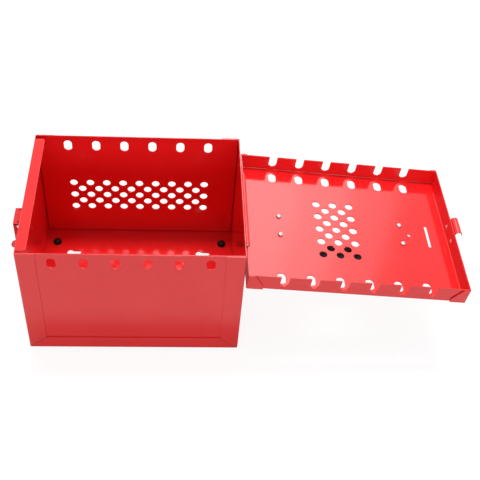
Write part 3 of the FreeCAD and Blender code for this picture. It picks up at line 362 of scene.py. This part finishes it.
def pressed_lever():
    bpy.ops.object.select_all(action="DESELECT")
    lever = bpy.data.objects.new("pressed_lever", NODES["latch_lever"].data.copy())
    scene.collection.objects.link(lever)
    bpy.context.view_layer.objects.active = lever
    lever.select_set(True)
    bpy.ops.object.mode_set(mode="EDIT")
    bpy.ops.mesh.select_all(action="SELECT")
    bpy.ops.mesh.remove_doubles(threshold=0.005 * MM)
    for slot_side in (-EAR_SLOT[1], -EAR_SLOT[0], EAR_SLOT[0], EAR_SLOT[1]):
        bpy.ops.mesh.select_all(action="SELECT")
        bpy.ops.mesh.bisect(plane_co=(0.0, slot_side * MM, 0.0), plane_no=(0.0, 1.0, 0.0))

    def roof_end(face):
        x, y, z = face.center / MM
        in_slot = EAR_SLOT[0] < abs(y) < EAR_SLOT[1]
        at_end = abs(x - ROOF_END_X) < 0.1 and z > ROOF_UNDERSIDE_Z
        return at_end and face.normal.x > 0.9 and not in_slot

    choose_faces(lever, roof_end)
    bpy.ops.mesh.extrude_region_move(TRANSFORM_OT_translate={"value": ROOF_FOLD})
    bpy.ops.object.mode_set(mode="OBJECT")
    bpy.ops.object.shade_smooth_by_angle(angle=math.radians(35))
    fit(lever, "red_powder_coat", "latch_lever", "latch_lever")


pressed_lever()


# White paper sweep: white with a faint shadow where the camera sees it, bright and deeply
# shadowed in the paint's mirror image, and a softer shade for the light that bounces off it.
# Its lower side is clear, so that the box's underside can be looked at.
def white_paper():
    f = Finish(bpy.data.materials.new("white_paper"))
    ray = f.add("LightPath")
    paper = f.add("BsdfDiffuse", {"Color": linear("#BFBFBF")})
    bright = f.add("BsdfDiffuse", {"Color": linear("#F9F9F9")})
    bright_glow = f.add("Emission", {"Color": linear("#FFFFFF"), "Strength": 0.12})
    mirrored = f.add("AddShader", {0: bright[0], 1: bright_glow[0]})
    shaded = f.add("BsdfDiffuse", {"Color": linear("#7C7C7C")})
    white_glow = f.add("Emission", {"Color": linear("#FFFFFF"), "Strength": 0.89})
    white = f.add("AddShader", {0: shaded[0], 1: white_glow[0]})
    bounced = f.add("MixShader", {0: ray["Is Glossy Ray"], 1: paper[0], 2: mirrored[0]})
    seen = f.add("Math", {0: ray["Is Transmission Ray"], 1: ray["Is Camera Ray"]}, operation="MAXIMUM")
    upper_side = f.add("MixShader", {0: seen[0], 1: bounced[0], 2: white[0]})
    clear = f.add("BsdfTransparent")
    side = f.add("NewGeometry")
    return f.done(f.add("MixShader", {0: side["Backfacing"], 1: upper_side[0], 2: clear[0]}))


# The paper reaches far past the box on every side.
FLOOR_WIDTH = 12.0
bpy.ops.object.select_all(action="DESELECT")
bpy.ops.mesh.primitive_plane_add(size=FLOOR_WIDTH, location=(0.0, 0.0, 0.0))
floor = bpy.context.object
floor.name = "floor"
floor.data.materials.append(white_paper())


# White room: full white where it is looked at or mirrored, softer where it only lights.
ROOM_LIGHT = 0.34


def white_room():
    f = Finish(bpy.data.worlds.new("white_room"), "OutputWorld")
    ray = f.add("LightPath")
    lit = f.add("Background", {"Color": linear("#FFFFFF"), "Strength": ROOM_LIGHT})
    seen = f.add("Background", {"Color": linear("#FFFFFF"), "Strength": 1.0})
    mirrored = f.add("Math", {0: ray["Is Camera Ray"], 1: ray["Is Glossy Ray"]}, operation="MAXIMUM")
    looked_at = f.add("Math", {0: mirrored[0], 1: ray["Is Transmission Ray"]}, operation="MAXIMUM")
    scene.world = f.done(f.add("MixShader", {0: looked_at[0], 1: lit[0], 2: seen[0]}))


# Panel lamps that face the box: azimuth from the back towards the hinge side and elevation in
# degrees, then distance, width and height in metres, and watts. The key lamp is three panels
# behind one another, so that its mirror image on the lid fades towards its rim.
SOFTBOXES = (
    ("key_hot_centre", 12.0, 50.0, 2.2, 0.62, 0.9, 1.9),
    ("key_middle", 12.0, 50.0, 2.25, 1.0, 1.05, 5.0),
    ("key_rim", 12.0, 50.0, 2.3, 1.4, 1.2, 7.0),
    ("top_softbox", 0.0, 78.0, 2.0, 1.2, 0.3, 31.0),
    ("front_softbox", 178.0, 12.0, 2.4, 1.6, 0.5, 20.5),
)
LAMP_TARGET = Vector((0.12, 0.0, 0.12))


def softbox(name, azimuth, elevation, distance, width, height, power):
    turned = Matrix.Rotation(-math.radians(azimuth), 3, "Z")
    raised = Matrix.Rotation(math.radians(elevation), 3, "X")
    away = turned @ raised @ Vector((0.0, distance, 0.0))
    data = bpy.data.lights.new(name, "AREA")
    data.shape = "RECTANGLE"
    data.size = width
    data.size_y = height
    data.energy = power
    lamp = bpy.data.objects.new(name, data)
    scene.collection.objects.link(lamp)
    lamp.location = LAMP_TARGET + away
    lamp.rotation_euler = (-away).to_track_quat("-Z", "Y").to_euler()


white_room()
for panel in SOFTBOXES:
    softbox(*panel)


# Camera, fitted to the photograph: its place and the turn of its axes in the part's frame.
PHOTO_PIXELS = 480.0
FOCAL_PIXELS = 857.86
CENTRE_PIXELS = (230.14, 235.45)
CAMERA_SPOT_MM = (46.16, -728.25, 874.21)
CAMERA_TURN = (2.3845, -0.0134, 0.0852)


def photo_camera():
    turn = Vector(CAMERA_TURN)
    right, down, ahead = Matrix.Rotation(turn.length, 3, turn.normalized())
    axes = Matrix((right, -down, -ahead)).transposed()
    data = bpy.data.cameras.new("camera")
    camera = bpy.data.objects.new("camera", data)
    scene.collection.objects.link(camera)
    camera.matrix_world = Matrix.Translation(Vector(CAMERA_SPOT_MM) * MM) @ axes.to_4x4()
    data.sensor_fit = "HORIZONTAL"
    data.sensor_width = 36.0
    data.lens = data.sensor_width * FOCAL_PIXELS / PHOTO_PIXELS
    data.shift_x = (PHOTO_PIXELS / 2 - CENTRE_PIXELS[0]) / PHOTO_PIXELS
    data.shift_y = (CENTRE_PIXELS[1] - PHOTO_PIXELS / 2) / PHOTO_PIXELS
    data.clip_start = 0.05
    scene.camera = camera


photo_camera()
scene.view_settings.view_transform = "Standard"
